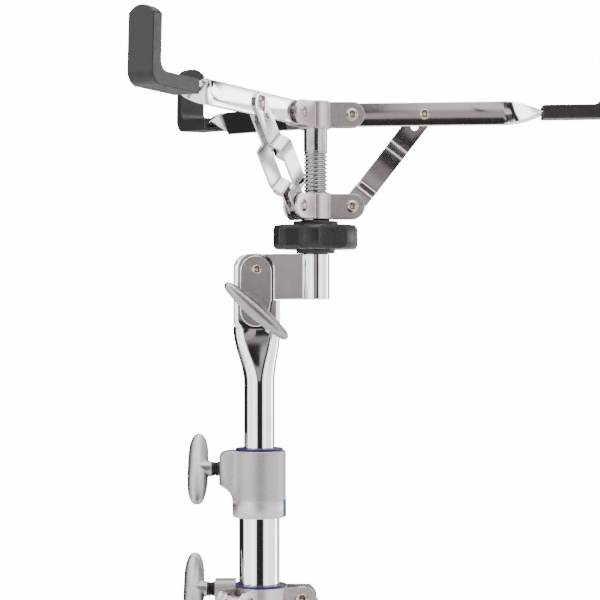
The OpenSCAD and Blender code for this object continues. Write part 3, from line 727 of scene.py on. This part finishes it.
def arm_piece(side):
    """One smooth strip from the round end, through the twist, to the end of the flat tongue."""
    place = arm_frame(side)
    rings = []

    def section(x, height, turn):
        points = []
        for across, up in rounded_outline(arm_t, height, 0.6 * mm, 3):
            points.append(place @ Vector((x, across * cos(turn) + up * sin(turn),
                                          up * cos(turn) - across * sin(turn))))
        rings.append(points)

    radius = arm_h / 2
    for step in range(12):
        angle = pi / 2 * (step + 0.35) / 12
        section(-radius * cos(angle), 2 * radius * sin(angle), 0)
    section(0, arm_h, 0)
    for share in (0.25, 0.5, 0.75, 1):
        section(twist_start * share, arm_h, 0)
    for step in range(1, 45):
        share = step / 44
        width = arm_h + (tongue_w - arm_h) * smooth_step(share * 3 - 2)
        eased_share = 0.8 * share + 0.2 * smooth_step(share)
        section(twist_start + twist_l * share, width, pi / 2 * eased_share)
    section(grip_out - grip_t, tongue_w, pi / 2)
    settle(lofted("arm_strip_" + side, rings), strip_steel, "arm_" + side)


for side in azimuths:
    arm_piece(side)


# Grips: charcoal rubber shoes pulled over the arms' ends, L-shaped to hold the drum's hoop, with
# softly rounded rims, a big fillet inside the bend and a crowned top.
black_rubber = surface("charcoal rubber", (0.02, 0.0165, 0.0165), 0, 0.42, 0.2, 260,
                       worn=(0.015, 0.0125, 0.0125), grain=0.02, grain_scale=1500, wave=0.05,
                       wave_scale=120, specular=0.3)


def grip_piece(side):
    """The shoe, with its mouth drawn in over the twist."""
    place = arm_frame(side)
    inverse = place.inverted()

    def drawn_in(point):
        local = inverse @ point
        if local.x < grip_start + 0.5 * mm:
            local.x -= grip_reach
        return place @ local

    eased("grip_" + side, black_rubber, 1.3 * mm, 4, "grip_shoe_" + side, drawn_in)


for side in azimuths:
    grip_piece(side)


# Struts: pairs of thin bright strips, pinched at both ends and bowed round the top hub's ears
# between, which lets them close up when the basket folds.
strut_steel = surface("plated strut", (0.5, 0.48, 0.47), 1, 0.14, 0.08, 400,
                      worn=(0.44, 0.42, 0.41), grain=0.004, grain_scale=2000, wave=0.03,
                      wave_scale=60)


def sideways(angle):
    """The level direction at right angles to an azimuth."""
    return Vector((-sin(angle), cos(angle), 0))


def bowed_out(side):
    """Widens a strut's bow, so that it clears the domed rivet heads when the basket is folded."""
    across = sideways(radians(azimuths[side]) + basket_turn)
    bow_from, widening = 4.7 * mm, 1.1 * mm

    def moved(point):
        apart = (point - Vector((rod.x, rod.y, 0))).dot(across)
        push = widening * smooth_step((abs(apart) - bow_from) / widening)
        return point + across * (push if apart > 0 else -push)

    return moved


for side in azimuths:
    eased("strut_" + side, strut_steel, 0.35 * mm, shift=bowed_out(side))


# Rivets: nickelled steel with low domed heads, each with a small dimple from the riveting tool.
rivet_steel = surface("warm nickel", (0.36, 0.29, 0.22), 1, 0.16, 0.1, 900,
                      worn=(0.28, 0.22, 0.16), wave=0.03, wave_scale=300)
for rivet_node in ("top_hub_rivets", "low_hub_rivets", "tilt_rivet", "crown_rivets",
                   "spider_rivets"):
    eased(rivet_node, pressed_sheet, 0.25 * mm)


def domes(name, node, spots, radius, height):
    """Domed rivet heads: spots are (middle of the flat side, direction that it faces)."""
    profile = [(radius, 0), (radius, 0.12 * height)]
    for step in range(1, 9):
        angle = pi / 2 * step / 10
        profile.append((radius * cos(angle), 0.12 * height + 0.88 * height * sin(angle)))
    profile += [(radius * 0.26, 0.93 * height), (radius * 0.2, 0.72 * height),
                (radius * 0.02, 0.62 * height)]
    steps = 32
    points, faces = [], []
    for place, facing in spots:
        turn = Vector((0, 0, 1)).rotation_difference(Vector(facing)).to_matrix()
        first = len(points)
        for r, up in profile:
            for step in range(steps):
                angle = 2 * pi * step / steps
                points.append(Vector(place) + turn @ Vector((r * cos(angle), r * sin(angle), up)))
        faces += wall_faces(first, len(profile), steps) + end_faces(first, len(profile), steps)
    settle(mesh_piece(name, points, faces, 50), rivet_steel, node, replaces=False)


def head_pair(axis_x, pivot_r, height_z, angle, out):
    """Two head places on the line of a hinge pin, out from the middle of its ear pair."""
    across = sideways(angle)
    middle = Vector((axis_x + pivot_r * cos(angle), pivot_r * sin(angle), height_z))
    return [(middle + across * out, across), (middle - across * out, -across)]


def heads_round(axis_x, pivot_r, height_z, out, turn=0.0):
    """The head places of the three hinge pins round a hub."""
    spots = []
    for azimuth in azimuths.values():
        spots += head_pair(axis_x, pivot_r, height_z, radians(azimuth) + turn, out)
    return spots


small_dome = (3.4 * mm, 1.5 * mm)
big_dome = (4.6 * mm, 1.9 * mm)
tilt_dome = (3.1 * mm, 1.2 * mm)
hub_ear_out = 5.2 * mm
leg_pivot_r = 26.4 * mm
crown_ear_out = 9.2 * mm
spider_ear_out = 7.6 * mm
low_hub_z = centre("low_hub_rivets").z
crown_pivot_z = centre("crown_rivets").z
spider_pivot_z = centre("spider_rivets").z
domes("top_hub_heads", "top_hub_rivets",
      heads_round(rod.x, arm_pivot_r, hub_z, hub_ear_out, basket_turn), *small_dome)
domes("low_hub_heads", "low_hub_rivets",
      heads_round(rod.x, arm_pivot_r, low_hub_z, hub_ear_out, basket_turn), *small_dome)
domes("crown_heads", "crown_rivets",
      heads_round(tube.x, leg_pivot_r, crown_pivot_z, crown_ear_out), *big_dome)
domes("spider_heads", "spider_rivets",
      heads_round(tube.x, leg_pivot_r, spider_pivot_z, spider_ear_out), *big_dome)
tilt_head_out = cheek_depth / 2 + ear_out - 0.1 * mm
domes("tilt_heads", "tilt_rivet",
      [(Vector((pivot.x, side * tilt_head_out, pivot.z)), (0, side, 0)) for side in (-1, 1)],
      *tilt_dome)

strut_reach = 44.9 * mm
strut_out = 3.2 * mm
for side, azimuth in azimuths.items():
    pin = arm_frame(side) @ Vector((strut_reach, 0, 0))
    across = sideways(radians(azimuth) + basket_turn)
    both = [(pin + across * strut_out, across), (pin - across * strut_out, -across)]
    if side == "right":
        domes("strut_head_right", "strut_right", both[:1], *small_dome)
        domes("arm_head_right", "arm_right", [(pin - across * arm_t / 2, -across)], *small_dome)
    else:
        domes("strut_heads_" + side, "strut_" + side, both, *small_dome)


# Wing screws: zinc castings with a satin plating, a flat oval blade that swells into a round
# stem, on a dark threaded screw. The same casting serves the collar, the crown and the tilter.
cast_wing = surface("satin plated casting", (0.34, 0.32, 0.31), 1, 0.34, 0.14, 220,
                    worn=(0.28, 0.262, 0.252), grain=0.006, grain_scale=1600, wave=0.04,
                    wave_scale=90)
dark_thread = surface("dark thread", (0.035, 0.03, 0.028), 1, 0.35, 0.2, 700, grain=0.02)
wing_l = 52 * mm
wing_depth = 13 * mm
wing_t = 9.5 * mm
stem_foot_r = 4.8 * mm
stem_top_r = 5.2 * mm
side_turn = radians(36)
side_stem = 2.3 * mm
tilt_turn = radians(-41.5)
tilt_stem = 5 * mm
screw_r = 3 * mm
screw_pitch = 1.25 * mm
screw_depth = 0.4 * mm
sleeve_r = 4.6 * mm
sleeve_pitch = 1.5 * mm
sleeve_depth = 0.7 * mm
sleeve_l = 4.2 * mm


def orient(facing, turn):
    """Turns a wing built along X and standing on +Z to face a way, then spins it on its screw."""
    leftwards = Matrix.Rotation(-pi / 2, 4, "Y")
    frontwards = Matrix.Rotation(pi / 2, 4, "X")
    return (leftwards if facing[0] else frontwards) @ Matrix.Rotation(turn, 4, "Z")


def wing_piece(node, boss_face, facing, turn, stem):
    """The blade and its stem, melted together as a casting is, and smoothed."""
    middle = stem + wing_depth / 2
    shape = bmesh.new()
    rows, columns = 36, 40
    grid = []
    for row in range(rows + 1):
        share = -1 + 2 * row / rows
        along = share * wing_l / 2
        half_depth = wing_depth / 2 * max(1 - abs(share) ** 3.5, 0.0) ** 0.5
        half_thick = (wing_t / 2 * (0.56 + 0.52 * (1 - abs(share) ** 1.7))
                      * max(1 - abs(share) ** 14, 0.0) ** 0.5)
        ring_points = []
        for column in range(columns):
            angle = 2 * pi * column / columns
            ring_points.append(shape.verts.new((
                along, half_thick * sin(angle), middle + half_depth * cos(angle))))
        grid.append(ring_points)
    for row in range(rows):
        for column in range(columns):
            after = (column + 1) % columns
            shape.faces.new((grid[row][column], grid[row][after],
                             grid[row + 1][after], grid[row + 1][column]))
    cone = bmesh.ops.create_cone(shape, cap_ends=True, segments=40, radius1=stem_foot_r,
                                 radius2=stem_top_r, depth=middle)
    bmesh.ops.translate(shape, verts=cone["verts"], vec=(0, 0, middle / 2))
    bmesh.ops.remove_doubles(shape, verts=shape.verts, dist=1e-6)
    bmesh.ops.recalc_face_normals(shape, faces=shape.faces)
    place = Matrix.Translation(boss_face) @ orient(facing, turn)
    bmesh.ops.transform(shape, matrix=place, verts=shape.verts)
    mesh = bpy.data.meshes.new(node + "_casting")
    shape.to_mesh(mesh)
    shape.free()
    piece = bpy.data.objects.new(node + "_casting", mesh)
    bpy.context.collection.objects.link(piece)
    melt = piece.modifiers.new("melt", "REMESH")
    melt.mode = "VOXEL"
    melt.voxel_size = 0.6 * mm
    melt.use_smooth_shade = True
    soften = piece.modifiers.new("soften", "SMOOTH")
    soften.factor = 0.5
    soften.iterations = 4
    settle(piece, cast_wing, node)


left, front, back = (-1, 0, 0), (0, -1, 0), (0, 1, 0)
for node, screw_node in (("height_wing", "height_screw"), ("crown_wing", "crown_screw")):
    low, high = (Vector(corner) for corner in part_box(node))
    screw_low, screw_high = (Vector(corner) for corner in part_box(screw_node))
    middle = (low.z + high.z) / 2
    wing_piece(node, (high.x, 0, middle), left, side_turn, side_stem)
    screw_l = screw_high.x - screw_low.x
    sleeve_from = screw_l - sleeve_l
    screw_foot = (screw_high.x, 0, middle)
    threaded(screw_node + "_shank", screw_foot, left, screw_r, screw_depth, screw_pitch, 0,
             sleeve_from, (1 * mm, sleeve_from - 0.2 * mm), dark_thread, screw_node, steps=32)
    threaded(screw_node + "_thread", screw_foot, left, sleeve_r, sleeve_depth, sleeve_pitch,
             sleeve_from, screw_l - 0.1 * mm, (sleeve_from + 0.1 * mm, screw_l), dark_thread,
             screw_node, replaces=False)

bolt_low, bolt_high = (Vector(corner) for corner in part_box("tilt_bolt"))
bolt = (bolt_low + bolt_high) / 2
bolt_l = bolt_high.y - bolt_low.y
boss_gap = ear_out + 0.1 * mm
wing_piece("tilt_wing", (bolt.x, bolt_low.y - boss_gap, bolt.z), front, tilt_turn,
           tilt_stem - boss_gap)
threaded("tilt_bolt_thread", (bolt.x, bolt_low.y, bolt.z), back, screw_r, screw_depth, screw_pitch,
         0, bolt_l, (16 * mm, bolt_l - 0.5 * mm), rivet_steel, "tilt_bolt", steps=32)
eased("tilt_nut", rivet_steel, 0.5 * mm)


# Knob: a black moulded nut with finger hollows round its rim, finely ribbed for grip, and a boss
# above and below where it bears.
knob_low, knob_high = (Vector(corner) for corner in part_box("basket_knob"))
knob_r = max(knob_high.x - knob_low.x, knob_high.y - knob_low.y) / 2
knob_h = 15 * mm
knob_boss_h = 2.5 * mm
knob_half = radians(20.5)
knob_turn = radians(-6)
hollow_depth = 1 * mm
knob_chamfer = 2.5 * mm
knob_bore_r = 7.45 * mm
low_boss_r = 12.2 * mm
high_boss_r = 13.8 * mm
knob_crown_r = 20 * mm
ribbed_from_r = 19 * mm
rib_count = 180
rib_depth = 0.3 * mm


def knob_radius(angle, rim, ribbed):
    """The rim's radius at an angle, less the finger hollow and the fine ribs."""
    flat_r = knob_r * cos(knob_half)
    end_y = knob_r * sin(knob_half)
    hollow_r = (end_y ** 2 + hollow_depth ** 2) / (2 * hollow_depth)
    far = flat_r - hollow_depth + hollow_r
    sector = pi / 3
    near = (angle - knob_turn + sector / 2) % sector - sector / 2
    inside = hollow_r ** 2 - (far * sin(near)) ** 2
    hollow = far * cos(near) - sqrt(inside) if inside > 0 else rim
    radius = min(rim, hollow)
    in_hollow = smooth_step((rim - hollow) / (0.4 * mm))
    rib = rib_depth * (0.5 + 0.5 * cos(rib_count * angle)) * in_hollow * ribbed
    return radius - rib


def knob_piece():
    """Rings as (radius, height, share of the ribs' depth), from the low boss up and over."""
    low, high = knob_low.z, knob_high.z
    grip_low, grip_high = low + knob_boss_h, low + knob_boss_h + knob_h
    levels = [(knob_bore_r, low, 0), (low_boss_r - 0.6 * mm, low, 0),
              (low_boss_r - 0.2 * mm, low + 0.4 * mm, 0), (low_boss_r, grip_low, 0)]
    edge = [(knob_r - knob_chamfer * (1 - share ** 0.6), knob_chamfer * share, share ** 3)
            for share in (step / 6 for step in range(7))]
    levels += [(rim, grip_low + up, ribbed) for rim, up, ribbed in edge]
    levels += [(rim, grip_high - up, ribbed) for rim, up, ribbed in reversed(edge)]
    levels += [(knob_crown_r, grip_high, 0), (high_boss_r + 1.2 * mm, grip_high + 0.2 * mm, 0),
               (high_boss_r + 0.2 * mm, grip_high + 0.6 * mm, 0),
               (high_boss_r, high - 0.5 * mm, 0), (high_boss_r - 0.4 * mm, high, 0),
               (knob_bore_r, high, 0)]
    steps = 1080
    rings = []
    for rim, z, ribbed in levels:
        points = []
        for step in range(steps):
            angle = 2 * pi * step / steps
            r = knob_radius(angle, rim, ribbed) if rim > ribbed_from_r else rim
            points.append((rod.x + r * cos(angle), rod.y + r * sin(angle), z))
        rings.append(points)
    rings.append(rings[0])
    settle(lofted("basket_knob_rim", rings, closed_ends=False, smooth_angle=40), black_plastic,
           "basket_knob")


knob_piece()


# Tripod: legs and braces are pairs of plated strips, pinned in the crown and in the spider at the
# foot of the tube, with moulded rubber feet.
foot_r = 236 * mm
foot_l = 28 * mm
foot_w = 20 * mm
foot_h = 19 * mm
foot_corner = 5 * mm
foot_pin_z = 9.5 * mm
brace_at = 84 * mm
leg_out = 6.8 * mm
for side in azimuths:
    eased("leg_" + side, strip_steel, 0.4 * mm)
    eased("brace_" + side, strip_steel, 0.4 * mm)


def foot_piece(side):
    """A rounded block with a slight taper towards its top."""
    turn = Matrix.Translation((tube.x, 0, 0)) @ Matrix.Rotation(radians(azimuths[side]), 4, "Z")
    rings = []
    levels = [(0.0, 0.93), (0.6 * mm, 0.98), (1.6 * mm, 1.0), (7 * mm, 0.99), (12 * mm, 0.97),
              (16 * mm, 0.94), (18 * mm, 0.9), (18.8 * mm, 0.84), (foot_h, 0.74)]
    for height, share in levels:
        points = []
        for x, y in rounded_outline(foot_l * share, foot_w * share, foot_corner * share, 6):
            points.append(turn @ Vector((foot_r + x, y, height)))
        rings.append(points)
    settle(lofted("foot_shoe_" + side, rings, smooth_angle=50), black_rubber, "foot_" + side)


for side in azimuths:
    foot_piece(side)

leg_lean = atan2(foot_r - leg_pivot_r, crown_pivot_z - foot_pin_z)
brace_pin_r = leg_pivot_r + brace_at * sin(leg_lean)
brace_pin_z = crown_pivot_z - brace_at * cos(leg_lean)
for side, azimuth in azimuths.items():
    domes("leg_heads_" + side, "leg_" + side,
          head_pair(tube.x, brace_pin_r, brace_pin_z, radians(azimuth), leg_out), *big_dome)
